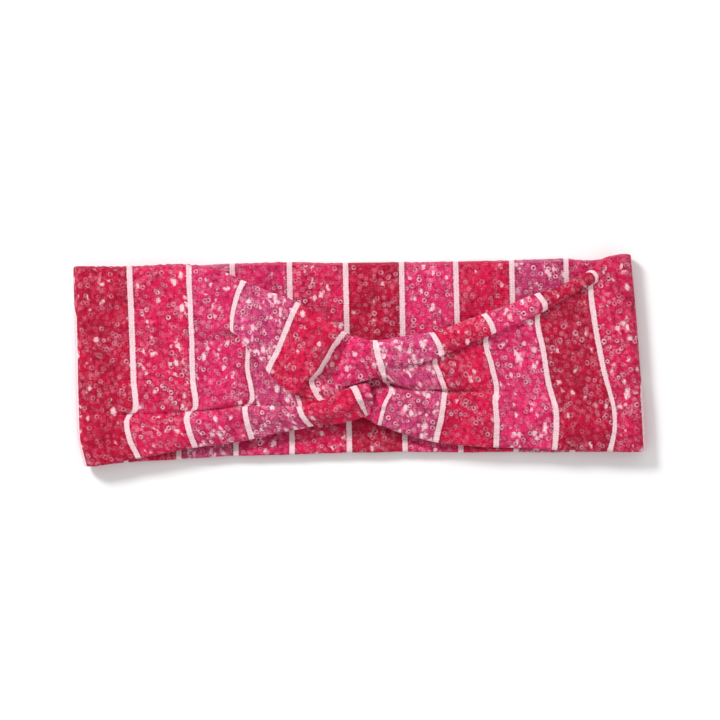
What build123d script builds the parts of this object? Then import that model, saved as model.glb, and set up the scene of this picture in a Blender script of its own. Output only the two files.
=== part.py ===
"""Twist headband, laid flat: a double-ply jersey tube whose two ends hook round each other and are sewn.

The back half of the loop lies on the table. The tube turns over at each end, and the two front halves
run in above it, pleated, until they meet in the twist. Millimetres, +X along the loop, +Y across the
band, +Z up. The origin is under the middle of the loop, on the table.
"""

import os
from math import pi, sin

from build123d import *

# Driving dimensions.
PLY = 1.0  # one layer of brushed jersey with its nap
LOOP_GAP = 5.0  # free height inside the loop as it lies
TWIST_TOP = 16.5  # crown of the twist above the table
STITCH_PITCH = 2.5  # overlock stitches, centre to centre

BAND_THICK = 2 * PLY
FRONT_UNDERSIDE = BAND_THICK + LOOP_GAP
FRONT_TOP = FRONT_UNDERSIDE + BAND_THICK
TURN_OUTER = FRONT_TOP / 2
TURN_INNER = LOOP_GAP / 2

# The creases where the loop turns over, as top and bottom points of each end's outermost line.
LEFT_CREASE = (Vector(-120, 39), Vector(-115.5, -44.5))
RIGHT_CREASE = (Vector(114.2, 44.5), Vector(120, -38.5))

# Long edges of the back half, between the two turns.
BACK_TOP_EDGE = [(-60, 40.8), (0, 41.1), (60, 41.8)]
BACK_BOTTOM_EDGE = [(60, -38.9), (0, -39), (-55, -40.6)]

# Front halves: at each station, the top and bottom ends of a line across the band, and the height of
# the cloth above the table at seven places along that line. The peaks are the pleats.
ACROSS = (0.0, 0.12, 0.3, 0.5, 0.7, 0.85, 1.0)
LEFT_STATIONS = [
    ((-96, 39.5), (-92.5, -41.5), (9.0, 9.6, 9.2, 9.0, 8.8, 10.2, 9.0)),
    ((-71.5, 40), (-69, -36.8), (9.0, 10.2, 9.6, 9.0, 8.8, 10.6, 9.0)),
    ((-48.5, 34), (-45.5, -33), (9.2, 12.0, 11.4, 9.2, 8.9, 11.2, 9.0)),
    ((-27, 24.5), (-23, -27.5), (9.6, 13.2, 12.6, 9.8, 9.2, 12.2, 9.2)),
    ((-10.2, 14), (-10.2, -23), (10.0, 13.4, 12.8, 10.4, 9.8, 13.0, 9.6)),
]
RIGHT_STATIONS = [
    ((97.5, 38.5), (104.4, -37.6), (9.2, 10.8, 9.2, 9.0, 8.9, 9.4, 9.0)),
    ((74.5, 27.8), (81, -37), (9.4, 12.2, 9.4, 9.0, 8.9, 9.8, 9.0)),
    ((51.8, 19.6), (56.5, -36.4), (9.6, 12.8, 10.0, 9.2, 9.0, 10.4, 9.0)),
    ((29.8, 12), (31.5, -34.4), (9.8, 13.2, 11.6, 9.6, 9.2, 11.2, 9.2)),
    ((10.2, 9.5), (10.2, -25.5), (10.0, 13.4, 12.8, 10.2, 9.8, 12.4, 9.4)),
]

# The twist: each half's strand climbs over the other half and tucks in behind it. Each station gives a
# place along the band, the strand's two edges across it, and its crown above the table. The right
# strand is the left one turned half round about the twist's middle.
TWIST_MIDDLE_Y = -8.0
LEFT_WRAP = [
    (-10.0, -23.5, -8.1, 13.0),
    (-5.0, -25.0, -8.1, 15.4),
    (0.0, -24.6, -8.1, TWIST_TOP),
    (5.0, -23.8, -8.1, 15.6),
    (10.0, -22.0, -8.1, 12.6),
]
WRAP_ARCH = 0.45  # below 1, a strand's section is fuller than a sine

# The join: the tube's raw ends, sewn through behind the twist and turned to the inside.
JOIN_WIDTH = 7.0
JOIN_BOTTOM_Y, JOIN_TOP_Y = -21.0, 5.0
JOIN_DROP = 1.8  # how far it hangs below the front layer
THREAD = 0.4

# The tube's own long seam, along its upper edge.
SEAM_WIDTH = 0.5
SEAM_HEIGHT = 0.8
SEAM_MARGIN = 6.0  # it fades into the turns


def crease_axes(crease, inward_sign):
    """The direction down a crease, and the level direction from it into the loop."""
    down = (crease[1] - crease[0]).normalized()
    inward = Vector(-down.Y, down.X) * inward_sign
    return down, inward


def turn_line(crease, inward_sign):
    """Where the flat layers end and the turn begins, as its top and bottom points."""
    _, inward = crease_axes(crease, inward_sign)
    return [point + inward * TURN_OUTER for point in crease]


def turn(crease, inward_sign):
    """The half round in which the tube turns over at one end of the loop."""
    down, inward = crease_axes(crease, inward_sign)
    start = turn_line(crease, inward_sign)[0] + Vector(0, 0, TURN_OUTER)
    plane = Plane(origin=start, x_dir=inward * -1, z_dir=down)
    outline = (
        ThreePointArc((0, -TURN_OUTER), (TURN_OUTER, 0), (0, TURN_OUTER))
        + Line((0, TURN_OUTER), (0, TURN_INNER))
        + ThreePointArc((0, TURN_INNER), (TURN_INNER, 0), (0, -TURN_INNER))
        + Line((0, -TURN_INNER), (0, -TURN_OUTER))
    )
    length = (crease[1] - crease[0]).length
    return extrude(plane * make_face(outline), amount=length, dir=down)


def back_edges():
    """The back half's top and bottom long edges, each running from its turn to the other."""
    left, right = turn_line(LEFT_CREASE, 1), turn_line(RIGHT_CREASE, -1)
    top = Spline(left[0], *BACK_TOP_EDGE, right[0])
    bottom = Spline(right[1], *BACK_BOTTOM_EDGE, left[1])
    return top, bottom, Line(right[0], right[1]), Line(left[1], left[0])


def back_band():
    """The back half of the loop, two plies flat on the table."""
    top, bottom, right, left = back_edges()
    return extrude(make_face(top + right + bottom + left), amount=BAND_THICK)


def station_face(top, bottom, heights):
    """The upright cross-section of a front half at one station."""
    top, bottom = Vector(top), Vector(bottom)
    under = Vector(0, 0, FRONT_UNDERSIDE)
    crest = [top + (bottom - top) * share + Vector(0, 0, z) for share, z in zip(ACROSS, heights)]
    return make_face(Polyline(top + under, *crest, bottom + under, close=True))


def front_half(crease, inward_sign, stations):
    """The pleated half of the front, from its turn to the twist."""
    start = turn_line(crease, inward_sign)
    flat = [FRONT_TOP] * len(ACROSS)
    faces = [station_face(*start, flat)] + [station_face(*station) for station in stations]
    return loft(faces, ruled=True)


def wrap_face(x, y_low, y_high, crown):
    """A strand's upright cross-section, flat underneath and arched on top."""
    rise = crown - FRONT_TOP
    heights = [FRONT_TOP + rise * sin(pi * share) ** WRAP_ARCH for share in ACROSS[:-1]] + [FRONT_TOP]
    return station_face((x, y_high), (x, y_low), heights)


def wrap(stations):
    """One strand of the twist, lying over the half of the band that it holds."""
    return loft([wrap_face(*station) for station in stations], ruled=True)


def half_turned(stations):
    """The same strand from the other side of the twist."""
    opposite = 2 * TWIST_MIDDLE_Y
    return [(-x, opposite - high, opposite - low, crown) for x, low, high, crown in reversed(stations)]


def join_allowance():
    """The four raw ends of the tube, sewn together and folded flat behind the twist."""
    length = JOIN_TOP_Y - JOIN_BOTTOM_Y
    block = Box(JOIN_WIDTH, length, JOIN_DROP)
    corners = block.edges().filter_by(Axis.Z)
    middle = Pos(0, (JOIN_TOP_Y + JOIN_BOTTOM_Y) / 2, FRONT_UNDERSIDE - JOIN_DROP / 2)
    return middle * fillet(corners, 1.0)


def join_stitches():
    """The overlock stitches across the join, one bar each."""
    count = int((JOIN_TOP_Y - JOIN_BOTTOM_Y - 2 * STITCH_PITCH) / STITCH_PITCH) + 1
    level = FRONT_UNDERSIDE - JOIN_DROP - THREAD / 2
    bars = [
        Pos(0, JOIN_BOTTOM_Y + STITCH_PITCH * (i + 1), level) * Box(JOIN_WIDTH, THREAD, THREAD)
        for i in range(count)
    ]
    return Compound(children=bars)


def seam_strip(path, level):
    """A thin ridge of seam standing out from a long edge, given as points from left to right."""
    edge = Polyline(*path)
    far = Polyline(*[(x, y + SEAM_WIDTH) for x, y in path])
    ends = Line(edge @ 0, far @ 0) + Line(edge @ 1, far @ 1)
    return Pos(0, 0, level) * extrude(make_face(edge + far + ends), amount=SEAM_HEIGHT)


def back_seam():
    """The long seam on the back half, just outside its top edge."""
    top, *_ = back_edges()
    first, last, count = 0.04, 0.93, 24
    points = [top @ (first + (last - first) * i / count) for i in range(count + 1)]
    return seam_strip([(p.X, p.Y + 0.05) for p in points], PLY - SEAM_HEIGHT / 2)


def front_seam(crease, inward_sign, stations):
    """The same seam on a front half, as far as its pleat takes the edge under."""
    start = turn_line(crease, inward_sign)[0]
    ends = [(start.X, start.Y), *[top for top, _, _ in stations[:3]]]
    nearest = Vector(*ends[0]) + (Vector(*ends[1]) - Vector(*ends[0])).normalized() * SEAM_MARGIN
    path = sorted([(nearest.X, nearest.Y), *ends[1:]])
    return seam_strip([(x, y + 0.05) for x, y in path], FRONT_UNDERSIDE + PLY - SEAM_HEIGHT / 2)


NODES = {
    "back_band": back_band(),
    "left_turn": turn(LEFT_CREASE, 1),
    "right_turn": turn(RIGHT_CREASE, -1),
    "front_left_band": front_half(LEFT_CREASE, 1, LEFT_STATIONS),
    "front_right_band": front_half(RIGHT_CREASE, -1, RIGHT_STATIONS),
    "twist_left_wrap": wrap(LEFT_WRAP),
    "twist_right_wrap": wrap(half_turned(LEFT_WRAP)),
    "join_allowance": join_allowance(),
    "join_stitches": join_stitches(),
    "back_tube_seam": back_seam(),
    "left_tube_seam": front_seam(LEFT_CREASE, 1, LEFT_STATIONS),
    "right_tube_seam": front_seam(RIGHT_CREASE, -1, RIGHT_STATIONS),
}

os.makedirs("parts", exist_ok=True)
for name, solid in NODES.items():
    export_step(solid, f"parts/{name}.step")
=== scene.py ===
"""Twist headband of printed brushed jersey, lying flat as a two-ply loop on a pale table.

The cloth is one tube. It is modelled as a smooth skin over rows of points that run along the band (its
top edge, pleats, creases and bottom edge) and stations that run across it, both in millimetres in the
CAD frame. Each point of the cloth also knows where it lies on the flat print, so that the stripes and
the beads follow every fold.
"""

from math import cos, pi, sin

import bpy
import numpy as np
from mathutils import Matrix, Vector


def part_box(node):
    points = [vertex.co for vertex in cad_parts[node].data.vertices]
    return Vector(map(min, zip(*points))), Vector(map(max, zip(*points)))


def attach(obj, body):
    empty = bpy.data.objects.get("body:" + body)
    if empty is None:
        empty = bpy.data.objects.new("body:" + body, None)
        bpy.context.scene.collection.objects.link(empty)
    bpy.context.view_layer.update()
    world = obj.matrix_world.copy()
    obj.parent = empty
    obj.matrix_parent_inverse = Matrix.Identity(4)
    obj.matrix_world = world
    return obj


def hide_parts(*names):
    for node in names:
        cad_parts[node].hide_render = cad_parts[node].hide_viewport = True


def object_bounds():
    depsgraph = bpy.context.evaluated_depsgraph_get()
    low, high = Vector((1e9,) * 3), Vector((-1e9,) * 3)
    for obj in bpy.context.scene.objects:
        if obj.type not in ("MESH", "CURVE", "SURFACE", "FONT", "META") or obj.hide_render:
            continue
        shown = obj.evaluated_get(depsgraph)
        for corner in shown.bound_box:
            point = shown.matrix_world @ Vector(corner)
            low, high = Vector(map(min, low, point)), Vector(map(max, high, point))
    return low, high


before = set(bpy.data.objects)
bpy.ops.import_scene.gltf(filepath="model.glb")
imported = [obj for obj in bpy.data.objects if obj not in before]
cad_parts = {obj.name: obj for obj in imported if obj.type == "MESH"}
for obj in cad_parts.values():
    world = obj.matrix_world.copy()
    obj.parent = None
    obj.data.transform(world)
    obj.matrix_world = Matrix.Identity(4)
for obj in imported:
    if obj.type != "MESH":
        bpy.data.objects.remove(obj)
CAD_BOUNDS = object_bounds()

MM = 0.001  # metres

# ---------------------------------------------------------------- sizes, from the frame, in millimetres


def node_box(name):
    """A CAD node's lowest and highest corners, in millimetres."""
    low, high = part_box(name)
    return [value / MM for value in low], [value / MM for value in high]


BACK_BOX = node_box("back_band")
FRONT_BOX = node_box("front_left_band")
LEFT_TURN_BOX = node_box("left_turn")

BACK_TOP = BACK_BOX[1][2]  # two plies, lying on the table
UNDERSIDE = FRONT_BOX[0][2]  # of the front half, above the gap in the loop
FRONT_TOP = UNDERSIDE + BACK_TOP  # where the front half lies flat
TURN_OUTER = LEFT_TURN_BOX[1][2] / 2
TURN_INNER = TURN_OUTER - BACK_TOP

# ---------------------------------------------------------------- the print, along the tube
STRIPE_PITCH = 23.5
STRIPE_WIDTH = 2.2
PANELS = 6
REPEAT = PANELS * STRIPE_PITCH
WALE_PITCH, COURSE_PITCH = 0.75, 0.9  # knit stitches
# Print positions of the loop's two folds. They grow along the back, from the right fold to the left one.
LEFT_FOLD = 3 * REPEAT
RIGHT_FOLD = LEFT_FOLD - 10 * STRIPE_PITCH
LEFT_START, RIGHT_START = 4.8, 11.0  # the flat front begins this far past each fold's print position
LEFT_BACK, RIGHT_BACK = LEFT_FOLD - 9.2, RIGHT_FOLD + 0.5  # print positions where the flat back begins
TWIST_START = 109.0  # print distance from either fold to the twist

# The print has slid round each fold: how far at most, the y where that begins, and its run to the full.
LEFT_SLIDE = (2.5, 17, 8)  # the line there is lost behind the upper end
RIGHT_SLIDE = (7.1, -1, -14)  # the line there comes up to the edge along the lower half
SLIDE_REACH = 9.0  # the print lies straight again this far from a fold

# ---------------------------------------------------------------- the front halves
# Thirteen rows run along each half. A station gives its point of each row, on four lines:
#   the edge tucked under the pleat, and the pleat's outline
#   three rows over the pleat's round, and its lip
#   the fold under the lip, the valley, and the crease
#   the fold under the lower strand, the strand's outline, its crown, and the bottom edge
ROWS = 13
ROW_STEPS = (5, 6, 14, 18, 12, 9, 22, 30, 6, 7, 16, 18)  # skin divisions between rows

# Each station: print position past the left fold, then x, y, z of the rows.
LEFT_STATIONS = [
    (23.5, [
        (-96.2, 38.0, 9.0), (-96.1, 36.2, 9.5),
        (-95.9, 31.0, 9.7), (-95.5, 22.0, 9.2), (-95.2, 14.0, 9.1), (-94.9, 6.0, 9.0),
        (-94.8, 3.0, 9.0), (-94.4, -9.0, 9.1), (-94.9, -22.3, 9.2),
        (-95.9, -22.8, 8.8), (-96.8, -24.0, 9.3), (-96.2, -32.5, 10.0), (-92.7, -40.3, 9.0),
    ]),
    (47.0, [
        (-71.4, 38.8, 9.0), (-71.3, 36.8, 9.7),
        (-71.2, 32.0, 10.1), (-70.8, 24.0, 9.8), (-70.4, 14.0, 9.4), (-70.1, 6.0, 9.1),
        (-70.1, 3.0, 9.0), (-69.8, -8.0, 9.1), (-69.8, -21.2, 9.2),
        (-70.9, -21.6, 8.7), (-72.0, -23.0, 9.5), (-71.0, -30.0, 10.7), (-69.0, -35.6, 9.2),
    ]),
    (58.5, [
        (-59.6, 37.0, 8.9), (-59.9, 37.6, 9.8),
        (-60.3, 34.2, 11.0), (-60.8, 27.5, 11.0), (-61.1, 18.5, 10.4), (-60.6, 11.0, 9.8),
        (-59.9, 9.6, 9.2), (-58.6, -3.0, 8.9), (-58.2, -19.9, 9.2),
        (-59.2, -20.3, 8.4), (-60.0, -21.3, 9.8), (-58.9, -28.6, 10.9), (-57.2, -34.2, 9.2),
    ]),
    (70.5, [
        (-47.2, 30.4, 8.6), (-48.2, 33.0, 10.2),
        (-49.8, 30.2, 12.0), (-52.0, 24.0, 12.3), (-53.4, 16.5, 11.8), (-53.0, 11.4, 11.0),
        (-48.4, 10.6, 9.0), (-47.0, -3.6, 8.8), (-46.2, -18.4, 8.9),
        (-47.2, -18.9, 8.4), (-47.8, -19.4, 10.2), (-47.0, -26.2, 11.5), (-45.4, -32.0, 9.4),
    ]),
    (82.0, [
        (-36.2, 25.2, 8.7), (-37.4, 28.2, 10.4),
        (-39.0, 25.6, 12.4), (-42.0, 18.4, 13.1), (-44.8, 10.0, 12.8), (-46.6, 4.2, 11.5),
        (-42.6, 4.4, 9.0), (-38.4, -6.0, 8.7), (-36.2, -18.2, 8.6),
        (-36.4, -19.6, 8.5), (-36.8, -19.5, 11.0), (-35.8, -25.0, 12.2), (-33.8, -29.2, 9.7),
    ]),
    (94.0, [
        (-24.4, 20.4, 8.8), (-25.6, 23.6, 10.6),
        (-27.3, 20.8, 12.8), (-30.4, 13.4, 13.6), (-34.0, 4.4, 13.2), (-38.0, -5.2, 11.6),
        (-32.8, -5.0, 9.0), (-28.6, -10.6, 8.7), (-25.4, -17.2, 8.8),
        (-24.6, -20.8, 8.9), (-25.5, -19.1, 11.8), (-24.0, -23.4, 13.2), (-21.4, -26.6, 10.2),
    ]),
    (106.0, [
        (-14.2, 14.6, 8.8), (-15.4, 17.6, 10.8),
        (-17.2, 14.8, 12.7), (-20.8, 7.6, 13.3), (-25.0, -1.8, 12.8), (-27.4, -14.2, 11.4),
        (-24.0, -15.0, 9.6), (-21.6, -15.8, 9.3), (-17.6, -17.0, 9.4),
        (-15.8, -19.6, 9.3), (-14.5, -16.6, 13.0), (-11.6, -20.6, 14.4), (-9.6, -24.8, 10.9),
    ]),
    (117.5, [
        (-4.6, 8.6, 8.8), (-6.1, 11.6, 10.6),
        (-8.4, 9.0, 12.2), (-12.5, 2.7, 12.4), (-17.0, -4.6, 11.8), (-18.9, -6.8, 11.6),
        (-20.2, -8.2, 10.8), (-19.2, -12.4, 10.6), (-16.6, -16.4, 10.2),
        (-7.0, -15.6, 9.6), (-3.0, -11.0, 13.4), (-0.2, -16.6, 15.2), (1.8, -20.8, 12.2),
    ]),
    (123.0, [
        (0.5, 4.0, 8.2), (-1.2, 8.4, 8.8),
        (-3.4, 6.0, 9.2), (-7.4, 0.6, 8.8), (-10.6, -4.8, 8.1), (-12.4, -8.2, 8.1),
        (-12.6, -10.6, 8.7), (-11.4, -12.8, 9.6), (-8.0, -14.2, 9.6),
        (0.5, -13.2, 9.2), (3.4, -9.4, 12.4), (5.2, -14.4, 13.0), (4.6, -20.8, 10.2),
    ]),
    (127.0, [
        (5.0, 1.0, 7.8), (4.0, 4.0, 7.9),
        (2.0, 2.6, 8.2), (-1.0, -1.8, 8.4), (-3.6, -5.6, 8.4), (-5.0, -8.4, 8.4),
        (-5.4, -10.4, 8.3), (-5.0, -12.0, 8.2), (-3.0, -13.4, 8.2),
        (0.0, -15.0, 8.0), (3.4, -9.8, 8.4), (4.4, -14.4, 8.0), (3.4, -20.2, 7.9),
    ]),
]

# Each station: print position before the right fold, then x, y, z of the rows.
RIGHT_STATIONS = [
    (17.0, [
        (101.0, 41.2, 9.0), (101.2, 40.4, 9.2),
        (101.8, 38.4, 9.5), (102.2, 36.0, 9.5), (102.4, 33.4, 9.3), (102.6, 31.2, 9.2),
        (102.8, 29.0, 9.1), (105.0, 12.0, 9.1), (108.6, -9.4, 9.0),
        (109.2, -13.6, 9.0), (110.6, -21.0, 9.2), (111.0, -29.0, 9.3), (110.9, -37.4, 9.0),
    ]),
    (23.5, [
        (94.6, 33.6, 8.9), (94.8, 36.6, 9.8),
        (97.2, 36.6, 10.5), (98.7, 34.6, 10.7), (98.3, 32.2, 10.1), (96.2, 31.0, 9.3),
        (96.3, 28.6, 9.1), (98.5, 11.9, 9.1), (103.0, -9.4, 9.0),
        (104.2, -13.4, 9.0), (106.0, -21.0, 9.6), (106.1, -29.0, 9.9), (104.4, -37.2, 9.0),
    ]),
    (47.0, [
        (72.2, 23.6, 8.8), (73.6, 27.4, 10.0),
        (75.4, 25.6, 11.2), (77.0, 22.8, 11.5), (77.0, 20.6, 10.9), (74.4, 20.0, 10.2),
        (74.0, 18.0, 9.7), (76.4, 4.0, 9.2), (79.2, -12.0, 9.0),
        (79.8, -14.0, 9.0), (81.6, -21.0, 9.8), (81.8, -29.0, 9.9), (81.2, -36.4, 9.0),
    ]),
    (70.5, [
        (49.6, 15.0, 8.8), (51.2, 19.4, 10.4),
        (53.2, 17.2, 11.9), (55.0, 13.8, 12.3), (55.6, 11.0, 11.7), (52.8, 10.4, 10.8),
        (52.4, 8.4, 10.2), (54.8, -2.0, 9.8), (57.0, -12.2, 9.0),
        (57.0, -13.4, 8.7), (56.6, -14.4, 9.6), (57.0, -26.0, 10.4), (56.8, -35.4, 9.0),
    ]),
    (94.0, [
        (27.8, 6.8, 8.8), (29.5, 11.4, 10.8),
        (31.3, 9.2, 12.6), (33.2, 5.2, 13.2), (34.0, 1.8, 12.6), (31.6, 1.4, 11.4),
        (31.2, -0.6, 11.2), (33.2, -6.4, 11.4), (35.2, -12.0, 10.4),
        (35.6, -13.4, 8.9), (35.4, -13.6, 10.4), (33.8, -24.0, 11.8), (31.7, -33.2, 9.2),
    ]),
    (106.0, [
        (16.6, 4.8, 8.8), (17.8, 9.8, 11.2),
        (19.6, 7.2, 13.6), (21.6, 2.2, 14.4), (22.6, -1.8, 13.9), (21.0, -2.8, 13.0),
        (20.8, -4.4, 13.0), (21.8, -8.6, 13.0), (23.0, -12.0, 11.8),
        (23.6, -13.2, 9.2), (23.4, -12.8, 10.6), (21.6, -22.0, 12.4), (18.8, -29.4, 9.6),
    ]),
    (117.5, [
        (4.6, 4.4, 9.0), (6.1, 8.4, 11.4),
        (6.7, 5.0, 14.2), (8.0, 0.0, 15.4), (9.4, -4.6, 14.8), (9.6, -5.4, 14.2),
        (9.8, -6.2, 14.0), (9.8, -7.2, 13.2), (9.9, -8.0, 11.8),
        (11.4, -9.8, 7.3), (13.0, -11.6, 10.0), (10.2, -18.4, 12.0), (8.2, -26.2, 9.6),
    ]),
    (128.0, [
        (-2.0, 4.4, 9.4), (-1.6, 9.4, 11.0),
        (-3.0, 5.4, 13.4), (-3.2, -1.4, 14.6), (-1.4, -10.0, 14.0), (1.4, -9.0, 13.2),
        (3.0, -7.8, 12.2), (4.0, -7.8, 10.4), (4.6, -8.0, 7.6),
        (5.6, -10.8, 7.5), (6.6, -12.6, 8.8), (5.2, -18.6, 10.2), (3.6, -24.0, 8.8),
    ]),
    (135.0, [
        (-3.6, 4.6, 8.8), (-4.4, 8.6, 9.8),
        (-7.2, 3.2, 12.0), (-8.8, -3.6, 13.0), (-8.2, -11.4, 12.2), (-4.0, -10.8, 10.4),
        (0.6, -9.6, 9.6), (2.4, -9.6, 8.8), (3.2, -12.0, 8.0),
        (3.4, -13.4, 8.0), (2.0, -14.4, 8.4), (0.6, -18.6, 8.4), (0.0, -23.0, 8.0),
    ]),
    (142.0, [
        (-2.0, 4.0, 7.8), (-2.6, 7.0, 7.9),
        (-5.0, 2.4, 8.2), (-6.8, -2.8, 8.4), (-6.2, -9.4, 8.2), (-4.0, -7.4, 8.0),
        (-1.0, -9.5, 7.9), (0.0, -11.0, 7.9), (0.6, -12.8, 7.8),
        (0.6, -14.2, 7.8), (0.0, -14.6, 7.8), (-1.0, -18.6, 7.8), (-1.6, -22.6, 7.8),
    ]),
]

# Outermost lines of the two folds, as y and x.
LEFT_OUTLINE = [
    (39.2, -120.0),
    (22.9, -119.6),
    (4.0, -119.1),
    (-21.2, -118.6),
    (-33.8, -117.9),
    (-44.5, -115.2),
]
RIGHT_OUTLINE = [
    (44.3, 113.3),
    (35.5, 114.0),
    (22.9, 115.3),
    (10.3, 116.2),
    (-2.3, 117.0),
    (-14.9, 118.4),
    (-38.4, 119.8),
]

# How far down the band each row is where it leaves its fold.
LEFT_SHARES = (0, 0.03, 0.09, 0.2, 0.3, 0.39, 0.43, 0.58, 0.74, 0.75, 0.77, 0.87, 1.0)
RIGHT_SHARES = (0, 0.03, 0.06, 0.09, 0.12, 0.15, 0.18, 0.39, 0.65, 0.70, 0.80, 0.90, 1.0)

# Back half: where the stripes cross its top and bottom edges, from the right fold to the left, and those
# edges themselves.
BACK_STRIPES = [
    (86.3, 88.8),
    (63.6, 65.3),
    (40.1, 42.2),
    (17.4, 18.9),
    (-6.1, -4.4),
    (-29.6, -28.4),
    (-53.6, -51.9),
    (-77.0, -75.8),
    (-100.5, -98.0),
]
BACK_TOP_EDGE = [(-100, 38.0), (-74, 39.0), (-52, 40.3), (0, 40.6), (60, 41.5), (84, 42.2), (100, 42.0)]
BACK_BOTTOM_EDGE = [
    (-95, -42.5), (-79, -41.5), (-60, -40.3), (-30, -39.4), (0, -38.5), (60, -38.4), (100, -38.3),
]

# ---------------------------------------------------------------- fineness of the meshes
ALONG_STEP = 0.7  # between the front halves' stations
BACK_COUNT = 232  # stations along the back half
TURN_STEPS = 22  # round each turn
RIM_POINTS = 5  # round the cloth's edge
EDGE_ROUND = 1.0  # room that is left for the rounded edge, past the skin's own

# ---------------------------------------------------------------- soft waves of the cloth
# Lengths of the waves, and their height: broad ones, and fine ones over them.
FRONT_BROAD, FRONT_FINE = ((26, 15), 0.22), ((7, 4.5), 0.07)
BACK_BROAD, BACK_FINE = ((30, 17), 0.28), ((8, 5), 0.08)
LEFT_SEED, RIGHT_SEED, BACK_SEED = 3, 5, 11
WAVE_RUN = 8  # the front halves' waves grow over this length from a turn
PUCKER_LENGTH, PUCKER_HEIGHT, PUCKER_REACH = 4.6, 0.26, 2.5  # gathers along the seamed edge
TENSION_START, TENSION_RUN = 72, 30  # folds into the twist begin here, and grow over this length
BACK_LIFT = 0.5  # the back half's upper face lies this loose
BOTTOM_LIFT = 2.2  # its bottom edge stands this far off the table


# ---------------------------------------------------------------- curves and skins


def smooth(x):
    """0 below 0, 1 above 1, smooth between."""
    x = np.clip(x, 0, 1)
    return x * x * (3 - 2 * x)


def tangents(points, spans):
    """Slopes of a smooth curve through points along axis 0, for the spans between them."""
    slopes = np.diff(points, axis=0) / spans
    before, after = spans[:-1], spans[1:]
    inner = (after * slopes[:-1] + before * slopes[1:]) / (before + after)
    return np.concatenate([slopes[:1], inner, slopes[-1:]])


def hermite(points, slopes, spans, span, share):
    """Points on one span of a cubic curve, at that share of its way."""
    a, b = points[span], points[span + 1]
    da, db = slopes[span] * spans[span], slopes[span + 1] * spans[span]
    s2, s3 = share**2, share**3
    return (2 * s3 - 3 * s2 + 1) * a + (s3 - 2 * s2 + share) * da + (3 * s2 - 2 * s3) * b + (s3 - s2) * db


def along(knots, rows, samples):
    """Rows of points given at knots, smoothly filled in at the samples."""
    knots, rows = np.array(knots, float), np.array(rows, float)
    spans = np.diff(knots).reshape(-1, *[1] * (rows.ndim - 1))
    slopes = tangents(rows, spans)
    index = np.clip(np.searchsorted(knots, samples, side="right") - 1, 0, len(knots) - 2)
    result = []
    for i, sample in zip(index, samples):
        share = (sample - knots[i]) / (knots[i + 1] - knots[i])
        result.append(hermite(rows, slopes, spans, i, share))
    return np.array(result)


CREASE_SOFTNESS = 0.85  # below 1, slopes at the rows are held back, and folds are tighter


def across(rows, steps):
    """A skin across smooth rows of points, with that many divisions between one row and the next."""
    columns = np.swapaxes(rows, 0, 1)
    spans = np.linalg.norm(np.diff(columns, axis=0), axis=2)[..., None] + 1e-6
    slopes = tangents(columns, spans) * CREASE_SOFTNESS
    result = []
    for i, count in enumerate(steps):
        for k in range(count):
            result.append(hermite(columns, slopes, spans, i, k / count))
    result.append(columns[-1])
    return np.swapaxes(np.array(result), 0, 1)


def curve_at(points, values):
    """A smooth curve through points: its second coordinate at values of the first."""
    points = sorted(points)
    return along([p[0] for p in points], [[p[1]] for p in points], values)[:, 0]


def ripples(u, v, seed, sizes, height):
    """Soft unevenness over the cloth: a few waves of random direction and place for each size."""
    rng = np.random.default_rng(seed)
    total = np.zeros_like(u)
    for size in sizes:
        for _ in range(4):
            angle, phase = rng.uniform(0, 2 * pi, 2)
            total += np.sin((u * cos(angle) + v * sin(angle)) * 2 * pi / size + phase)
    return height * total / (4 * len(sizes)) ** 0.5


def normals_of(grid):
    """Unit normals of a grid of points."""
    du, dv = np.gradient(grid, axis=0), np.gradient(grid, axis=1)
    normals = np.cross(dv, du)
    return normals / (np.linalg.norm(normals, axis=2, keepdims=True) + 1e-9)


# ---------------------------------------------------------------- building the meshes


class Strip:
    """A stretch of the flattened tube: its outer and inner faces, and each point's place on the print."""

    def __init__(self, outer, inner, u, v, panel):
        self.outer, self.inner, self.u, self.v, self.panel = outer, inner, u, v, panel

    def part(self, first, last):
        """The strip from one of its stations to another."""
        cut = slice(first, last + 1)
        return Strip(self.outer[cut], self.inner[cut], self.u[cut], self.v[cut], self.panel[cut])


def rim(outer_edge, outer_next, inner_edge):
    """Points round the cloth's edge, from its outer face to its inner one."""
    middle = (outer_edge + inner_edge) / 2
    half = (outer_edge - inner_edge) / 2
    away = outer_edge - outer_next
    away -= half * (np.sum(away * half, axis=1) / np.sum(half * half, axis=1))[:, None]
    away /= np.linalg.norm(away, axis=1, keepdims=True) + 1e-9
    radius = np.linalg.norm(half, axis=1, keepdims=True)
    angles = [pi * (k + 1) / (RIM_POINTS + 1) for k in range(RIM_POINTS)]
    return np.stack([middle + half * cos(a) + away * radius * sin(a) for a in angles], axis=1)


def make_object(name, vertices, faces, u, v, panel, end_size):
    """A mesh object in metres with its print coordinates, and crisp edges round its two cut ends."""
    mesh = bpy.data.meshes.new(name)
    mesh.from_pydata((vertices * MM).tolist(), [], faces)
    loops = np.empty(len(mesh.loops), dtype=np.int32)
    mesh.loops.foreach_get("vertex_index", loops)
    for layer_name, values in (("cloth", (u, v)), ("panel", (panel, np.zeros_like(panel)))):
        layer = mesh.uv_layers.new(name=layer_name)
        layer.uv.foreach_set("vector", np.stack(values, axis=1)[loops].astype(np.float32).ravel())
    mesh.polygons.foreach_set("use_smooth", np.ones(len(mesh.polygons), dtype=bool))
    ends = np.empty(len(mesh.edges) * 2, dtype=np.int32)
    mesh.edges.foreach_get("vertices", ends)
    ends = ends.reshape(-1, 2)
    at_end = (ends < end_size).all(axis=1) | (ends >= len(vertices) - end_size).all(axis=1)
    mesh.edges.foreach_set("use_edge_sharp", at_end)
    obj = bpy.data.objects.new(name, mesh)
    bpy.context.scene.collection.objects.link(obj)
    return obj


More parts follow.
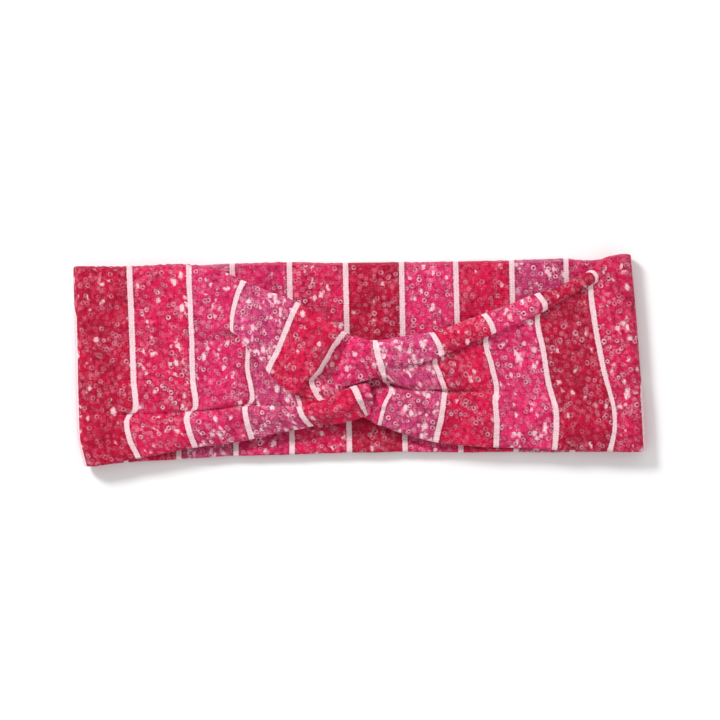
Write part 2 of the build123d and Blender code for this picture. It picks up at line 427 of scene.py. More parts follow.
def strip_object(name, strip):
    """A closed two-ply piece of the band."""
    outer, inner = strip.outer, strip.inner
    last_rim = rim(outer[:, -1], outer[:, -3], inner[:, -1])
    first_rim = rim(outer[:, 0], outer[:, 2], inner[:, 0])[:, ::-1]
    ring = np.concatenate([outer, last_rim, inner[:, ::-1], first_rim], axis=1)
    length, count, _ = ring.shape
    columns = outer.shape[1]

    def round_ring(outer_values, inner_values):
        """Values on the two faces, carried on over the two rims between them."""
        shares = [(k + 1) / (RIM_POINTS + 1) for k in range(RIM_POINTS)]
        last = [outer_values[:, -1] * (1 - s) + inner_values[:, -1] * s for s in shares]
        first = [inner_values[:, 0] * (1 - s) + outer_values[:, 0] * s for s in shares]
        rims = np.stack(last, axis=1), np.stack(first, axis=1)
        return np.concatenate([outer_values, rims[0], inner_values[:, ::-1], rims[1]], axis=1).ravel()

    u = round_ring(strip.u, strip.u)
    edge = strip.v[:, -1:]
    v = round_ring(strip.v, 2 * edge - strip.v + BACK_TOP * pi / 2)
    panel = round_ring(strip.panel, strip.panel)

    def vertex(i, k):
        """Number of a point of the ring at one station, counted round it."""
        return i * count + k % count

    faces = [
        (vertex(i, k), vertex(i, k + 1), vertex(i + 1, k + 1), vertex(i + 1, k))
        for i in range(length - 1)
        for k in range(count)
    ]
    inner_start = columns + RIM_POINTS
    for i, turned in ((0, False), (length - 1, True)):
        cap = [
            (
                vertex(i, k + 1),
                vertex(i, k),
                vertex(i, inner_start + columns - 1 - k),
                vertex(i, inner_start + columns - 2 - k),
            )
            for k in range(columns - 1)
        ]
        cap.append([vertex(i, k) for k in range(inner_start, columns - 2, -1)])
        cap.append([vertex(i, k) for k in range(count, count - RIM_POINTS - 2, -1)])
        faces += [tuple(reversed(face)) if turned else tuple(face) for face in cap]
    return make_object(name, ring.reshape(-1, 3), faces, u, v, panel, count)


# ---------------------------------------------------------------- the band's shape

# Columns of the front halves' skin, at the rows that matter.
FINE_COLUMNS = sum(ROW_STEPS) + 1
PLEAT_COLUMN = sum(ROW_STEPS[:1])
ROUND_COLUMN = sum(ROW_STEPS[:3])
LIP_COLUMN = sum(ROW_STEPS[:5])
CREASE_COLUMN = sum(ROW_STEPS[:8])
STRAND_COLUMN = sum(ROW_STEPS[:10])


def flat_station(outline, inward, shares):
    """The rows where a turn ends and the flat front begins, at those shares of the way down the band."""
    top, bottom = max(outline)[0] - EDGE_ROUND, min(outline)[0] + EDGE_ROUND
    y = top + (bottom - top) * np.array(shares)
    x = curve_at(outline, y) + inward * TURN_OUTER
    return np.stack([x, y, np.full(ROWS, FRONT_TOP)], axis=1)


def front_skin(outline, inward, shares, stations, start):
    """The front half's outer skin from its turn to its hidden end, with its print positions."""
    knots = [start] + [position for position, _ in stations]
    rows = [flat_station(outline, inward, shares)] + [np.array(points) for _, points in stations]
    samples = np.arange(start, knots[-1], ALONG_STEP)
    samples = np.append(samples, knots[-1])
    return across(along(knots, rows, samples), ROW_STEPS), samples


def under_skin(skin):
    """The front half's flat underside, which leaves out the pleats."""
    picks = [0, ROUND_COLUMN, CREASE_COLUMN, FINE_COLUMNS - 1]
    rows = skin[:, picks].copy()
    rows[..., 2] = UNDERSIDE
    return across(rows, np.diff(picks))


def slid(y, slide):
    """How far the print has slid round a fold, at those y."""
    most, begin, run = slide
    return most * smooth((y - begin) / run)


def turn_strip(front, inward, first_u, last_u, slide):
    """The half round at one end, from the front half's first station to the back half's."""
    skin_edge, under_edge = front.outer[0], front.inner[0]
    outer, inner = [], []
    for k in range(TURN_STEPS + 1):
        angle = pi * k / TURN_STEPS
        for edge, radius, points in ((skin_edge, TURN_OUTER, outer), (under_edge, TURN_INNER, inner)):
            ring = edge.copy()
            ring[:, 0] -= inward * radius * sin(angle)
            ring[:, 2] = TURN_OUTER + radius * cos(angle)
            points.append(ring)
    u = np.linspace(first_u, last_u, TURN_STEPS + 1)[:, None] + np.zeros((1, FINE_COLUMNS))
    v = np.repeat(front.v[:1], TURN_STEPS + 1, axis=0)
    return Strip(np.array(outer), np.array(inner), u, v, u + slid(skin_edge[None, :, 1], slide))


left_skin, left_s = front_skin(LEFT_OUTLINE, 1, LEFT_SHARES, LEFT_STATIONS, LEFT_START)
right_skin, right_s = front_skin(RIGHT_OUTLINE, -1, RIGHT_SHARES, RIGHT_STATIONS, RIGHT_START)


def arc_down(skin):
    """Distance down over the folds from the front half's first row, leaving out any along the band."""
    steps = np.linalg.norm(np.diff(skin[..., 1:], axis=1), axis=2)
    return np.pad(np.cumsum(steps, axis=1), ((0, 0), (1, 0)))


def column_share(first, last):
    """0 up to one column of a front half's skin, 1 from another, smooth between."""
    return smooth((np.arange(FINE_COLUMNS) - first) / (last - first))


def pucker(u, from_edge):
    """Small gathers where the tube's long seam draws the cloth in."""
    gathers = np.sin(2 * pi * u / PUCKER_LENGTH + 2.5 * np.sin(u / 7))
    uneven = gathers * (0.5 + 0.5 * np.sin(u / 5.3 + np.sin(u / 17)))
    return PUCKER_HEIGHT * uneven * np.exp(-from_edge / PUCKER_REACH)


def tension(u, v):
    """Fine folds that run along the band into the twist."""
    near = smooth((u - TENSION_START) / TENSION_RUN)
    broad = 0.26 * np.sin(2 * pi * v / 6.1 + 0.9 * np.sin(u / 8))
    fine = 0.13 * np.sin(2 * pi * v / 3.4 + u / 9) * (0.5 + 0.5 * np.sin(u / 6 + v / 5))
    return near * (broad + fine)


def unevenness(u, arc, seed):
    """Soft waves and fine folds that follow the upper strand above the valley and the lower one below."""
    heights = []
    for column in (PLEAT_COLUMN, CREASE_COLUMN):
        v = arc - arc[:, [column]] + arc[0, column]
        wave = ripples(u, v, seed, *FRONT_BROAD) + ripples(u, v * 1.6, seed + 1, *FRONT_FINE)
        heights.append(wave + tension(u, v))
    share = column_share(LIP_COLUMN, CREASE_COLUMN)
    return heights[0] * (1 - share) + heights[1] * share


def bead_place(skin, arc, first_u):
    """Where a front half's points lie on the print, so that no bead is sheared.

    Down the band each stretch is counted from its own line: the pleat, the crease and the lower strand.
    They differ only by the cloth that is tucked away between them.
    """
    lines = (PLEAT_COLUMN, CREASE_COLUMN, STRAND_COLUMN)
    pleat, valley, strand = [arc - arc[:, [c]] - skin[:, [c], 1] for c in lines]
    in_valley = column_share(LIP_COLUMN, CREASE_COLUMN)
    on_strand = column_share(CREASE_COLUMN, STRAND_COLUMN)
    upper = pleat * (1 - in_valley) + valley * in_valley
    v = upper * (1 - on_strand) + strand * on_strand
    return first_u + skin[..., 0] - skin[:1, :, 0], v


def front_strip(skin, s, seed, mark, direction, slide):
    """A front half: its skin with its waves, folds and gathers, over its flat underside.

    It's flat where it leaves its turn, so that it meets the turn.
    """
    arc = arc_down(skin)
    u = s[:, None] + np.zeros_like(arc)
    print_u = mark + direction * u
    bead_u, bead_v = bead_place(skin, arc, print_u[:1])
    fade = smooth((s - s[0]) / WAVE_RUN)[:, None]
    gathers = pucker(u, arc)
    skin[..., 1] += 0.4 * gathers * fade
    height = (unevenness(u, arc, seed) + gathers) * fade
    outer = skin + normals_of(skin) * direction * height[..., None]
    straight = smooth((s - s[0]) / SLIDE_REACH)[:, None]
    panel = print_u + slid(skin[..., 1], slide) * (1 - straight)
    return Strip(outer, under_skin(skin), bead_u, bead_v, panel)


left_front = front_strip(left_skin, left_s, LEFT_SEED, LEFT_FOLD, 1, LEFT_SLIDE)
right_front = front_strip(right_skin, right_s, RIGHT_SEED, RIGHT_FOLD, -1, RIGHT_SLIDE)
left_turn = turn_strip(left_front, 1, LEFT_FOLD + LEFT_START, LEFT_BACK, LEFT_SLIDE)
right_turn = turn_strip(right_front, -1, RIGHT_FOLD - RIGHT_START, RIGHT_BACK, RIGHT_SLIDE)


def way_down(edge):
    """Share of the way down the band for each point of a turn's edge."""
    return (edge[0, 1] - edge[:, 1]) / (edge[0, 1] - edge[-1, 1])


def back_edge(right, left, crossings, outline, outward, samples, height):
    """One long edge of the back half, between a turn's corners, with the stripes where they cross it."""
    marks = [RIGHT_FOLD + (k + 1) * STRIPE_PITCH for k in range(len(crossings))]
    knots = [RIGHT_BACK] + marks + [LEFT_BACK]
    x = along(knots, [[x] for x in (right[0], *crossings, left[0])], samples)[:, 0]
    reach = outward * EDGE_ROUND
    y = curve_at([(right[0], right[1] + reach), *outline, (left[0], left[1] + reach)], x)
    return np.stack([x, y - reach, np.full_like(x, height)], axis=1)


def back_face(right, left, samples, progress, down, height):
    """One face of the back half, from the right turn's edge to the left one's."""
    top_crossings, bottom_crossings = zip(*BACK_STRIPES)
    top = back_edge(right[0], left[0], top_crossings, BACK_TOP_EDGE, 1, samples, height)
    bottom = back_edge(right[-1], left[-1], bottom_crossings, BACK_BOTTOM_EDGE, -1, samples, height)
    grid = top[:, None] + (bottom - top)[:, None] * down[..., None]
    # At the turns the fold's own curve takes over from the straight lines between the edges.
    for end, edge, edge_down in ((0, right, down[0]), (1, left, down[-1])):
        weight = np.clip(1 - np.abs(progress - end) * 5, 0, 1) ** 2
        straight = edge[0, 0] + (edge[-1, 0] - edge[0, 0]) * edge_down
        grid[..., 0] += weight[:, None] * (edge[:, 0] - straight)[None, :]
    return grid


def back_strip():
    """The back half, from the right turn to the left one, flat on the table."""
    right_edge, left_edge = right_turn.outer[-1], left_turn.outer[-1]
    samples = np.linspace(RIGHT_BACK, LEFT_BACK, BACK_COUNT)
    progress = (samples - RIGHT_BACK) / (LEFT_BACK - RIGHT_BACK)
    right_down, left_down = way_down(right_edge)[None, :], way_down(left_edge)[None, :]
    down = right_down * (1 - progress)[:, None] + left_down * progress[:, None]
    outer = back_face(right_edge, left_edge, samples, progress, down, 0.0)
    inner = back_face(right_turn.inner[-1], left_turn.inner[-1], samples, progress, down, BACK_TOP)
    v = down * (right_front.v[0, -1] - right_front.v[0, 0]) + right_front.v[0, 0]
    u = samples[:, None] + np.zeros_like(v)
    fade = np.clip(np.minimum(progress, 1 - progress) * 12, 0, 1)[:, None]
    wave = ripples(u, v, BACK_SEED, *BACK_BROAD) + ripples(u, v, BACK_SEED + 1, *BACK_FINE)
    edge_lift = BOTTOM_LIFT * np.exp(-(1 - down) * 12)
    inner[..., 2] += (BACK_LIFT + wave + pucker(u, v - v[:, :1]) + edge_lift) * fade
    outer[..., 2] += edge_lift * fade
    right_share = 1 - smooth((samples - RIGHT_BACK) / SLIDE_REACH)[:, None]
    left_share = 1 - smooth((LEFT_BACK - samples) / SLIDE_REACH)[:, None]
    y = outer[..., 1]
    panel = u + slid(y, RIGHT_SLIDE) * right_share + slid(y, LEFT_SLIDE) * left_share
    return Strip(outer, inner, u, v, panel)


back = back_strip()

# ---------------------------------------------------------------- materials


class Nodes:
    """Short calls for building a shader's node tree."""

    def __init__(self, name):
        self.material = bpy.data.materials.new(name)
        self.material.use_nodes = True
        self.tree = self.material.node_tree
        self.tree.nodes.clear()

    def add(self, kind, inputs=None, **settings):
        """A new node, with values or other nodes' outputs for its inputs."""
        node = self.tree.nodes.new(kind)
        for key, value in settings.items():
            setattr(node, key, value)
        for key, value in (inputs or {}).items():
            self.feed(node.inputs[key], value)
        return node

    def feed(self, socket, value):
        """Another node's output, or a plain value, for one input."""
        if isinstance(value, bpy.types.NodeSocket):
            self.tree.links.new(value, socket)
        elif isinstance(value, bpy.types.Node):
            self.tree.links.new(value.outputs[0], socket)
        else:
            socket.default_value = value

    def math(self, operation, a, b=0.0, clamp=False):
        """One calculation on one or two values."""
        return self.add("ShaderNodeMath", {0: a, 1: b}, operation=operation, use_clamp=clamp).outputs[0]

    def product(self, value, *factors):
        """The value times all the factors."""
        for factor in factors:
            value = self.math("MULTIPLY", value, factor)
        return value

    def ramp(self, value, low, high):
        """0 below low, 1 above high, smooth between; high may be below low."""
        node = self.add(
            "ShaderNodeMapRange",
            {"Value": value, "From Min": low, "From Max": high, "To Min": 0.0, "To Max": 1.0},
            interpolation_type="SMOOTHSTEP",
        )
        return node.outputs["Result"]

    def mix(self, share, a, b, blend="MIX"):
        """Colour b blended over colour a, by that share."""
        node = self.add("ShaderNodeMix", data_type="RGBA", blend_type=blend)
        self.feed(node.inputs[0], share)
        self.feed(node.inputs[6], a)
        self.feed(node.inputs[7], b)
        return node.outputs[2]

    def scaled(self, value, factor, offset):
        """The value times the factor, plus the offset."""
        node = self.add("ShaderNodeMath", {0: value, 1: factor, 2: offset}, operation="MULTIPLY_ADD")
        return node.outputs[0]

    def surface(self, inputs):
        """The finished material, with a principled surface of those inputs."""
        shader = self.add("ShaderNodeBsdfPrincipled", inputs)
        self.add("ShaderNodeOutputMaterial", {"Surface": shader.outputs[0]})
        return self.material

    def split_colour(self, colour):
        """A colour's three channels, which serve as random numbers for a cell."""
        return self.add("ShaderNodeSeparateColor", {0: colour}).outputs

    def voronoi(self, place, pitch, randomness):
        """Scattered cells of that spacing."""
        inputs = {"Vector": place, "Scale": 1 / pitch, "Randomness": randomness}
        return self.add("ShaderNodeTexVoronoi", inputs, voronoi_dimensions="2D")

    def noise(self, place, scale, detail=2.0, roughness=0.5):
        return self.add(
            "ShaderNodeTexNoise",
            {"Vector": place, "Scale": scale, "Detail": detail, "Roughness": roughness},
            noise_dimensions="2D",
        )

    def shift(self, place, x, y, turn=0.0, scale=(1, 1, 1)):
        """The place moved, turned and stretched."""
        node = self.add("ShaderNodeMapping", {"Vector": place})
        node.inputs["Location"].default_value = (x, y, 0)
        node.inputs["Rotation"].default_value = (0, 0, turn)
        node.inputs["Scale"].default_value = scale
        return node.outputs[0]


def srgb(r, g, b):
    """A colour given as 0 to 255 display values, as linear light."""

    def channel(c):
        c /= 255
        return c / 12.92 if c <= 0.04045 else ((c + 0.055) / 1.055) ** 2.4

    return (channel(r), channel(g), channel(b), 1.0)


# The six panels in print order: ground colour, and how thickly the beads lie on it.
PANEL_PRINT = [
    (srgb(190, 14, 56), 0.50),
    (srgb(219, 27, 82), 0.80),
    (srgb(221, 37, 100), 0.78),
    (srgb(204, 60, 117), 1.45),
    (srgb(219, 19, 73), 0.55),
    (srgb(231, 41, 106), 0.90),
]
LINE_COLOUR = srgb(240, 205, 211)
BEAD_COLOUR = srgb(255, 170, 194)
WHITE_BEAD = srgb(255, 218, 228)
DEEP_COLOUR = srgb(84, 0, 20)
PINK_HAZE = srgb(240, 104, 142)

# Scatters of printed rings: place and turn on the print, spacing, radius, share left out, strength.
RING_SCATTERS = (
    ((3.1, 7.7), 0.4, 2.4, 0.52, 0.40, 0.34),
    ((41.0, 12.5), 1.3, 3.2, 0.64, 0.50, 0.62),
    ((17.7, 63.1), 2.2, 4.2, 0.70, 0.45, 1.00),
    ((71.3, 33.9), 0.9, 5.2, 0.72, 0.45, 1.00),
)
# Scatters of bright spots: spacing, stretch, turn on the print, strength.
BRIGHT_SCATTERS = (
    (2.6, 0.75, 0.5, 0.66),
    (3.8, 0.6, 2.0, 0.80),
)
SPOT_RADIUS = 0.6


def ring_scatter(nodes, place, pitch, radius, left_out):
    """Rings, at most one to a cell: their strength, and the dark in and round them."""
    cell = nodes.voronoi(place, pitch, 0.8)
    random = nodes.split_colour(cell.outputs["Color"])
    distance = nodes.product(cell.outputs["Distance"], pitch)
    size = nodes.scaled(random[1], 0.3, radius - 0.15)
    off_ring = nodes.math("ABSOLUTE", nodes.math("SUBTRACT", distance, size))
    present = nodes.ramp(random[0], left_out, left_out + 0.45)
    worn = nodes.scaled(nodes.ramp(nodes.noise(place, 0.7, 1).outputs[0], 0.38, 0.62), 0.6, 0.4)
    ring = nodes.product(nodes.ramp(off_ring, 0.46, 0.16), worn)
    hole = nodes.ramp(distance, 0.55, 0.15)
    dark = nodes.math("MAXIMUM", hole, nodes.product(nodes.ramp(off_ring, 0.85, 0.45), 0.6))
    return nodes.product(ring, present), nodes.product(dark, present)


def spot_scatter(nodes, place, pitch, stretch, turn, crowd):
    """Pale spots, ragged and longer than they are wide, more of them where they crowd."""
    ragged = nodes.noise(place, 0.8, 3, 0.6).outputs[1]
    bend = nodes.add("ShaderNodeVectorMath", {0: ragged, "Scale": 1.8}, operation="SCALE")
    bent = nodes.add("ShaderNodeVectorMath", {0: place, 1: bend.outputs[0]}, operation="ADD")
    cell = nodes.voronoi(nodes.shift(bent.outputs[0], 9, 31, turn, (1, stretch, 1)), pitch, 1.0)
    random = nodes.split_colour(cell.outputs["Color"])
    away = nodes.product(cell.outputs["Distance"], pitch)
    size = nodes.scaled(random[1], 0.7, SPOT_RADIUS - 0.35)
    inside = nodes.ramp(nodes.math("SUBTRACT", away, size), 0.5, -0.35)
    chosen = nodes.ramp(nodes.math("ADD", random[0], crowd), 1.05, 1.25)
    return nodes.product(inside, chosen)


def panel_ramp(nodes, share, values):
    """One flat step of a colour ramp for each panel."""
    ramp = nodes.add("ShaderNodeValToRGB", {0: share})
    ramp.color_ramp.interpolation = "CONSTANT"
    while len(ramp.color_ramp.elements) < len(values):
        ramp.color_ramp.elements.new(1.0)
    for i, element in enumerate(ramp.color_ramp.elements):
        element.position = i / len(values)
        element.color = values[i]
    return ramp.outputs[0]


def panel_lines(nodes, place, panel):
    """Pale lines between the panels, with a slightly rough edge, and their thin dark border."""
    rough_edge = nodes.scaled(nodes.noise(place, 1.1, 3).outputs[0], 0.6, -0.3)
    position = nodes.math("DIVIDE", nodes.math("ADD", panel, rough_edge), STRIPE_PITCH)
    off = nodes.math("ABSOLUTE", nodes.math("SUBTRACT", position, nodes.math("ROUND", position)))
    off = nodes.product(off, STRIPE_PITCH)
    line = nodes.ramp(off, STRIPE_WIDTH / 2 + 0.2, STRIPE_WIDTH / 2 - 0.2)
    border = nodes.ramp(off, STRIPE_WIDTH / 2 + 1.1, STRIPE_WIDTH / 2 + 0.2)
    return line, border


def mottled_ground(nodes, place, share, thick):
    """One colour to a panel, mottled light and dark."""
    colour = panel_ramp(nodes, share, [colour for colour, _ in PANEL_PRINT])
    broad = nodes.ramp(nodes.noise(place, 0.10, 3).outputs[0], 0.35, 0.70)
    colour = nodes.mix(nodes.product(broad, 0.30), colour, DEEP_COLOUR)
    haze = nodes.ramp(nodes.noise(place, 0.42, 3, 0.6).outputs[0], 0.46, 0.72)
    colour = nodes.mix(nodes.product(haze, thick, 0.50), colour, PINK_HAZE)
    dapple = nodes.ramp(nodes.noise(nodes.shift(place, 5, 9), 0.62, 3, 0.65).outputs[0], 0.48, 0.70)
    return nodes.mix(nodes.product(dapple, 0.55), colour, DEEP_COLOUR)


def print_beads(nodes, place, thick, colour):
    """Soft spots first, then rings, thick in some places and faint in others."""
    crowd = nodes.ramp(nodes.noise(place, 0.075, 3, 0.6).outputs[0], 0.36, 0.64)
    plenty = nodes.math("MULTIPLY", nodes.scaled(crowd, 0.80, 0.45), thick, clamp=True)
    soft = spot_scatter(nodes, nodes.shift(place, 50, 70), 2.3, 0.8, 1.1, nodes.scaled(crowd, 0.3, 0.3))
    colour = nodes.mix(nodes.product(soft, plenty, 0.38), colour, BEAD_COLOUR)
    for (x, y), turn, pitch, radius, left_out, strength in RING_SCATTERS:
        ring, dark = ring_scatter(nodes, nodes.shift(place, x, y, turn), pitch, radius, left_out)
        colour = nodes.mix(nodes.product(dark, plenty, 0.9 * strength), colour, DEEP_COLOUR)
        colour = nodes.mix(nodes.product(ring, plenty, strength), colour, BEAD_COLOUR)
    return colour


def print_lines(nodes, place, line, border, colour):
    """The pale lines over the beads, with a little pink in them."""
    colour = nodes.mix(nodes.product(border, 0.30), colour, DEEP_COLOUR)
    pink = nodes.product(nodes.ramp(nodes.noise(place, 1.0, 2).outputs[0], 0.5, 0.7), 0.30)
    return nodes.mix(line, colour, nodes.mix(pink, LINE_COLOUR, PINK_HAZE))


def print_bright_spots(nodes, place, thick, colour):
    """Clusters of bright spots, over everything else."""
    gathered = nodes.ramp(nodes.noise(place, 0.14, 2).outputs[0], 0.45, 0.66)
    cluster = nodes.product(nodes.scaled(gathered, 0.62, 0.1), thick)
    for pitch, stretch, turn, strength in BRIGHT_SCATTERS:
        spots = spot_scatter(nodes, place, pitch, stretch, turn, cluster)
        colour = nodes.mix(nodes.product(spots, strength), colour, WHITE_BEAD)
    return colour


def brushed_knit(nodes, place, line):
    """Wales across the band and courses along it, under a brushed fuzz: its height, and its shading."""
    x, y = nodes.add("ShaderNodeSeparateXYZ", {0: place}).outputs[:2]
    wales = nodes.math("SINE", nodes.product(y, 2 * pi / WALE_PITCH))
    courses = nodes.math("SINE", nodes.product(x, 2 * pi / COURSE_PITCH))
    knit = nodes.product(nodes.math("ADD", wales, courses), 0.25)
    fuzz = nodes.noise(place, 2.0, 3, 0.7).outputs[0]
    height = nodes.math("ADD", knit, nodes.product(fuzz, 1.6))
    quiet = nodes.scaled(line, -0.5, 1.0)
    speckle = nodes.math("ADD", nodes.product(knit, 0.35), nodes.math("SUBTRACT", fuzz, 0.5))
    shade = nodes.scaled(nodes.product(speckle, quiet), 0.36, 0.98)
    return height, nodes.add("ShaderNodeCombineColor", {0: shade, 1: shade, 2: shade}).outputs[0]


def jersey_material():
    """Brushed jersey with six printed panels, pale lines and a scatter of printed beads."""
    nodes = Nodes("printed_jersey")
    place = nodes.add("ShaderNodeUVMap", uv_map="cloth").outputs[0]
    panel = nodes.add("ShaderNodeUVMap", uv_map="panel").outputs[0]
    panel = nodes.add("ShaderNodeSeparateXYZ", {0: panel}).outputs[0]
    share = nodes.math("FRACT", nodes.math("DIVIDE", panel, REPEAT))
    halves = [(thickness / 2, thickness / 2, thickness / 2, 1) for _, thickness in PANEL_PRINT]
    thick = nodes.product(panel_ramp(nodes, share, halves), 2.0)
    line, border = panel_lines(nodes, place, panel)
    height, shade = brushed_knit(nodes, place, line)

    colour = mottled_ground(nodes, place, share, thick)
    colour = print_beads(nodes, place, thick, colour)
    colour = print_lines(nodes, place, line, border, colour)
    colour = print_bright_spots(nodes, place, thick, colour)
    colour = nodes.mix(1.0, colour, shade, "MULTIPLY")

    bump = nodes.add("ShaderNodeBump", {"Height": height, "Strength": 0.5, "Distance": 0.0003})
    return nodes.surface({
        "Base Color": colour,
        "Roughness": 0.85,
        "Specular IOR Level": 0.12,
        "Sheen Weight": 0.05,
        "Sheen Roughness": 0.5,
        "Normal": bump.outputs[0],
    })


JERSEY = jersey_material()

# ---------------------------------------------------------------- pieces

LEFT_SPLIT = int(np.searchsorted(left_s, TWIST_START))
RIGHT_SPLIT = int(np.searchsorted(right_s, TWIST_START))
left_body, left_wrap = left_front.part(0, LEFT_SPLIT), left_front.part(LEFT_SPLIT, len(left_s) - 1)
right_body, right_wrap = right_front.part(0, RIGHT_SPLIT), right_front.part(RIGHT_SPLIT, len(right_s) - 1)


def jersey_piece(name, strip, node):
    """A piece of the printed cloth, in place of one node of the CAD."""
    piece = strip_object(name, strip)
    piece.data.materials.append(JERSEY)
    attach(piece, "root")
    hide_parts(node)
    return piece


def cloth_piece(name, strip, node):
    """A stretch of the band, as a piece of the printed cloth."""
    piece = jersey_piece(name, strip, node)


cloth_piece("back_cloth", back, "back_band")
cloth_piece("left_turn_cloth", left_turn, "left_turn")
cloth_piece("right_turn_cloth", right_turn, "right_turn")
cloth_piece("front_left_cloth", left_body, "front_left_band")
cloth_piece("front_right_cloth", right_body, "front_right_band")
# The wraps' flat widths are those of their outer layers alone: the rest is hidden in the twist.
cloth_piece("left_wrap_cloth", left_wrap, "twist_left_wrap")
cloth_piece("right_wrap_cloth", right_wrap, "twist_right_wrap")

# ---------------------------------------------------------------- the join and the threads

JOIN_LOW, JOIN_HIGH = node_box("join_allowance")
STITCH_LOW, STITCH_HIGH = node_box("join_stitches")
THREAD_RADIUS = 0.18
THREAD_SIDES = 6
THREAD_STEP = 0.25  # between one point of a thread's path and the next
OVERLOCK_BARS = 9
JOIN_STATIONS, JOIN_COLUMNS = 9, 53
BACK_SEAM_GAP, LEFT_SEAM_GAP, RIGHT_SEAM_GAP = 10, 8, 10  # stations without a seam next to the turns
SEAM_REACH = 0.95  # from the middle of the cloth's edge to the seam's thread
SEAM_END = 62  # print distance from either fold to where the seam goes under a pleat


def join_strip():
    """The raw ends, folded flat behind the twist, a little uneven along their cut edges."""
    u = np.linspace(JOIN_LOW[0] + EDGE_ROUND, JOIN_HIGH[0] - EDGE_ROUND, JOIN_STATIONS)[:, None]
    v = np.linspace(JOIN_HIGH[1] - EDGE_ROUND, JOIN_LOW[1] + EDGE_ROUND, JOIN_COLUMNS)[None, :]
    x, y = u + 0.25 * np.sin(v * 0.9) * np.sign(u), v + 0.25 * np.sin(u * 1.3)
    lift = 0.15 * np.sin(v * 1.1 + u)
    outer = np.stack([x, y, np.full_like(x, JOIN_HIGH[2])], axis=2)
    inner = np.stack([x, y, JOIN_LOW[2] + lift], axis=2)
    place = LEFT_FOLD + u + np.zeros_like(v)
    return Strip(outer, inner, place, y, place.copy())


def thread_object(name, path):
    """A closed round thread along smooth points, in millimetres."""
    path = along(range(len(path)), path, np.arange(0, len(path) - 1 + 1e-6, THREAD_STEP))
    ahead = np.gradient(path, axis=0)
    ahead /= np.linalg.norm(ahead, axis=1, keepdims=True)
    side = np.cross(ahead, [0.0, 0.0, 1.0])
    side /= np.linalg.norm(side, axis=1, keepdims=True) + 1e-9
    up = np.cross(side, ahead)
    angles = [2 * pi * k / THREAD_SIDES for k in range(THREAD_SIDES)]
    ring = np.stack([path + THREAD_RADIUS * (side * cos(a) + up * sin(a)) for a in angles], axis=1)
    last = len(path) - 1

    def vertex(i, k):
        """Number of a point round the thread."""
        return i * THREAD_SIDES + k % THREAD_SIDES

    faces = [
        (vertex(i, k), vertex(i, k + 1), vertex(i + 1, k + 1), vertex(i + 1, k))
        for i in range(last)
        for k in range(THREAD_SIDES)
    ]
    faces.append(tuple(vertex(0, k) for k in reversed(range(THREAD_SIDES))))
    faces.append(tuple(vertex(last, k) for k in range(THREAD_SIDES)))
    travelled = np.concatenate([[0], np.cumsum(np.linalg.norm(np.diff(path, axis=0), axis=1))])
    u = np.repeat(travelled, THREAD_SIDES)
    v = np.tile([THREAD_RADIUS * a for a in angles], last + 1)
    return make_object(name, ring.reshape(-1, 3), faces, u, v, u, THREAD_SIDES)


def thread_material():
    """Twisted polyester sewing thread, in the band's own pink, with painted shade in the grooves of its
    twist and painted highlight on its crests.
    """
    nodes = Nodes("twisted_thread")
    place = nodes.add("ShaderNodeSeparateXYZ", {0: nodes.add("ShaderNodeUVMap", uv_map="cloth").outputs[0]})
    along_thread, around_thread = place.outputs[:2]
    slant = nodes.math("ADD", nodes.product(along_thread, 9.0), nodes.product(around_thread, 11.0))
    twist = nodes.scaled(nodes.math("SINE", slant), 0.5, 0.5)
    # Painted shade and highlight: the colour goes darker in the twist's grooves and lighter on its crests,
    # following the same twist that makes the bump.
    colour = nodes.mix(twist, srgb(150, 22, 62), srgb(226, 92, 132))
    bump = nodes.add("ShaderNodeBump", {"Height": twist, "Strength": 0.6, "Distance": 0.0001})
    return nodes.surface({"Base Color": colour, "Roughness": 0.5, "Normal": bump.outputs[0]})


THREAD = thread_material()


def thread_piece(name, path, node):
    """A piece of thread, in place of one node of the CAD."""
    piece = thread_object(name, np.array(path, float))
    piece.data.materials.append(THREAD)
    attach(piece, "root")
    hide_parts(node)


def overlock_path():
    """A thread that goes to and fro over the raw ends, one slanted bar to each stitch."""
    pitch = (STITCH_HIGH[1] - STITCH_LOW[1]) / (OVERLOCK_BARS - 1)
    level = STITCH_LOW[2] + THREAD_RADIUS
    reach = STITCH_HIGH[0] - 0.1
    path = []
    for i in range(OVERLOCK_BARS):
        y = STITCH_LOW[1] + 0.2 + i * pitch * 0.97
        path += [(-reach, y, level + 0.4), (-reach + 0.6, y, level), (0, y + 0.25, level)]
        path += [(reach - 0.6, y + 0.5, level), (reach, y + 0.9, level + 0.4), (0, y + 1.4, level + 0.25)]
    return path


def seam_path(strip, first, last):
    """Stitches that wind in and out along a strip's seamed edge, between two of its stations."""
    path = []
    for i in range(first, last):
        edge = (strip.outer[i, 0] + strip.inner[i, 0]) / 2
        swing = (i - first) * pi / 2
        path.append(edge + np.array([0.0, SEAM_REACH + 0.12 * cos(swing), 0.35 * sin(swing)]))
    return path


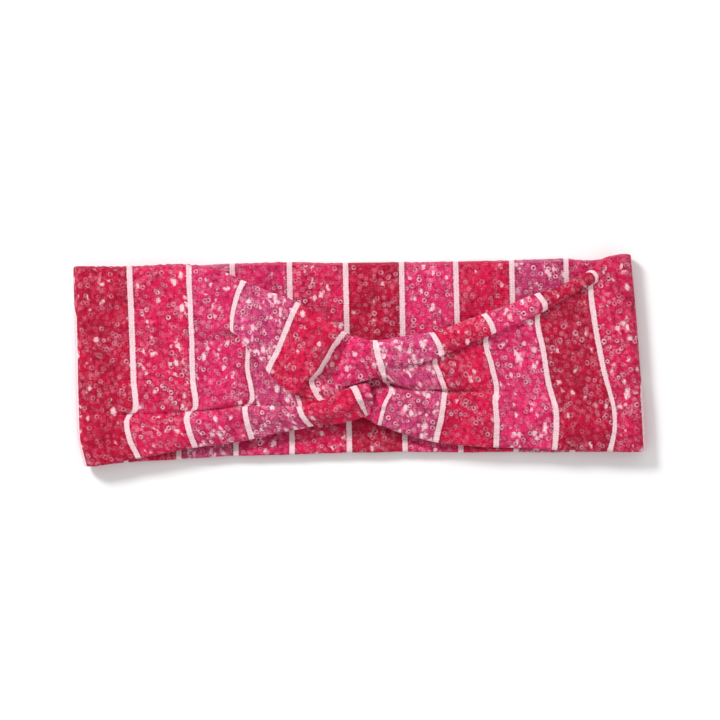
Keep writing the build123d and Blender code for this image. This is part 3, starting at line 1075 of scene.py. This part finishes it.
jersey_piece("join_cloth", join_strip(), "join_allowance")
thread_piece("join_overlock", overlock_path(), "join_stitches")
back_seam = seam_path(back, BACK_SEAM_GAP, BACK_COUNT - BACK_SEAM_GAP)
left_seam = seam_path(left_front, LEFT_SEAM_GAP, int(np.searchsorted(left_s, SEAM_END)))
right_seam = seam_path(right_front, RIGHT_SEAM_GAP, int(np.searchsorted(right_s, SEAM_END)))
thread_piece("back_seam_thread", back_seam, "back_tube_seam")
thread_piece("left_seam_thread", left_seam, "left_tube_seam")
thread_piece("right_seam_thread", right_seam, "right_tube_seam")

# ---------------------------------------------------------------- table, light and camera

FLOOR_SIDE = 6.0
FLOOR_GAP = 0.0002  # below the band, so that the two faces don't flicker
FLOOR_LOOK = {"Base Color": (0.93, 0.93, 0.93, 1), "Roughness": 0.9}
corners = [(FLOOR_SIDE / 2 * x, FLOOR_SIDE / 2 * y, 0) for x, y in ((-1, -1), (1, -1), (1, 1), (-1, 1))]
floor_mesh = bpy.data.meshes.new("table_top")
floor_mesh.from_pydata(corners, [], [(0, 1, 2, 3)])
floor_mesh.materials.append(Nodes("pale_table").surface(FLOOR_LOOK))
floor = bpy.data.objects.new("table_top", floor_mesh)
bpy.context.scene.collection.objects.link(floor)
floor.location.z = CAD_BOUNDS[0][2] - FLOOR_GAP

AMBIENT_LIGHT = 0.74
world = bpy.data.worlds.new("studio")
bpy.context.scene.world = world
world.use_nodes = True
background = world.node_tree.nodes["Background"]
background.inputs[0].default_value = (1, 1, 1, 1)
background.inputs[1].default_value = AMBIENT_LIGHT
bpy.context.scene.view_settings.view_transform = "Standard"

# The key light, a disk above the top left of the view.
KEY_DIRECTION = Vector((-0.95, 1.0, 1.1)).normalized()
KEY_DISTANCE = 1.6
KEY_SIZE = 0.42
KEY_POWER = 19.0
key_data = bpy.data.lights.new("key", "AREA")
key_data.shape = "DISK"
key_data.size = KEY_SIZE
key_data.energy = KEY_POWER
key = bpy.data.objects.new("key", key_data)
bpy.context.scene.collection.objects.link(key)
key.location = KEY_DIRECTION * KEY_DISTANCE
key.rotation_euler = KEY_DIRECTION.to_track_quat("Z", "Y").to_euler()

# The camera looks straight down.
VIEW_SIDE = 0.3024
LENS, SENSOR = 150.0, 36.0
camera_data = bpy.data.cameras.new("camera")
camera_data.lens = LENS
camera_data.sensor_width = SENSOR
camera = bpy.data.objects.new("camera", camera_data)
bpy.context.scene.collection.objects.link(camera)
camera.location = (0, 0, VIEW_SIDE * LENS / SENSOR)
bpy.context.scene.camera = camera
